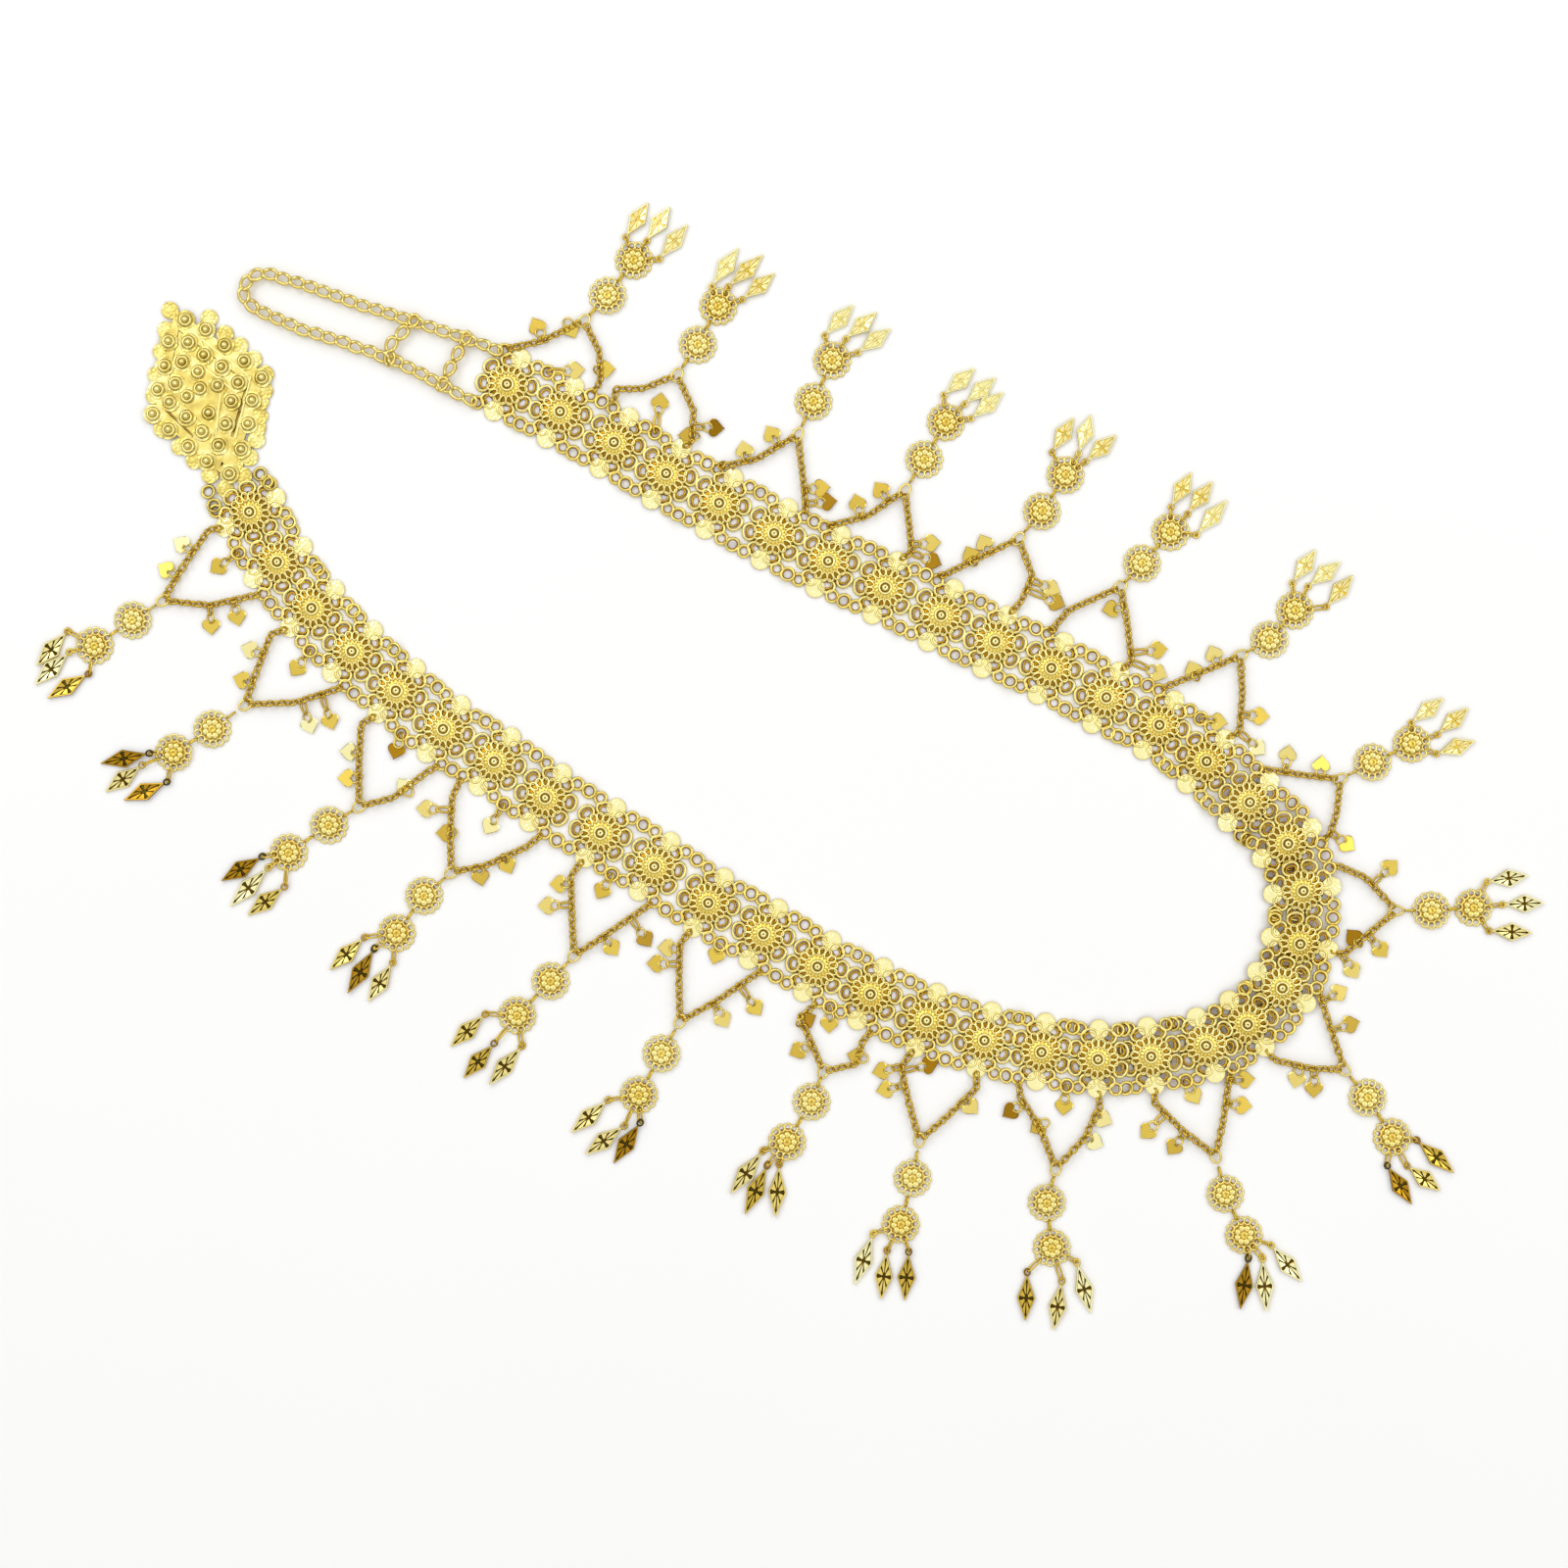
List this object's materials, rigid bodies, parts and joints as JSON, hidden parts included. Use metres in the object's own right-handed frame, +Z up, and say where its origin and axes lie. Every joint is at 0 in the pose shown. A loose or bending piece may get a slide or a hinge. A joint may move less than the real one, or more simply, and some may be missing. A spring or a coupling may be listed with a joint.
{
  "type": "tassel waist chain",
  "caption": "Open belt of linked filigree medallions with swagged chains, heart charms and drop pendants along its outer edge, a domed buckle plate and a curb chain ladder",
  "frame": {"origin": "on the rest surface, under the middle of the laid-out belt's outline", "axes": "+X points from the buckle and ladder end to the turn of the belt, +Y towards the ladder side, +Z up out of the rest surface"},
  "size_m": [0.5526, 0.4118, 0.0042],
  "materials": {
    "band_gold": "polished gold plate",
    "tassel_gold": "polished gold plate",
    "buckle_gold": "polished pale gold plate",
    "extender_gold": "polished gold plate"
  },
  "bodies": {
    "root": {"band_01": "band_gold", "band_02": "band_gold", "band_03": "band_gold", "band_04": "band_gold", "band_05": "band_gold", "band_06": "band_gold", "band_07": "band_gold", "band_08": "band_gold", "band_09": "band_gold", "band_10": "band_gold", "band_11": "band_gold", "band_12": "band_gold", "band_13": "band_gold", "band_14": "band_gold", "band_15": "band_gold", "band_16": "band_gold", "band_17": "band_gold", "band_18": "band_gold", "band_19": "band_gold", "band_20": "band_gold", "tassel_01": "tassel_gold", "tassel_02": "tassel_gold", "tassel_03": "tassel_gold", "tassel_04": "tassel_gold", "tassel_05": "tassel_gold", "tassel_06": "tassel_gold", "tassel_07": "tassel_gold", "tassel_08": "tassel_gold", "tassel_09": "tassel_gold", "tassel_10": "tassel_gold", "tassel_11": "tassel_gold", "tassel_12": "tassel_gold", "tassel_13": "tassel_gold", "tassel_14": "tassel_gold", "tassel_15": "tassel_gold", "tassel_16": "tassel_gold", "tassel_17": "tassel_gold", "tassel_18": "tassel_gold", "tassel_19": "tassel_gold", "tassel_20": "tassel_gold", "buckle": "buckle_gold", "extender_upper": "extender_gold", "extender_lower": "extender_gold", "extender_end": "extender_gold", "extender_rung_1": "extender_gold", "extender_rung_2": "extender_gold"}
  },
  "joints": []
}
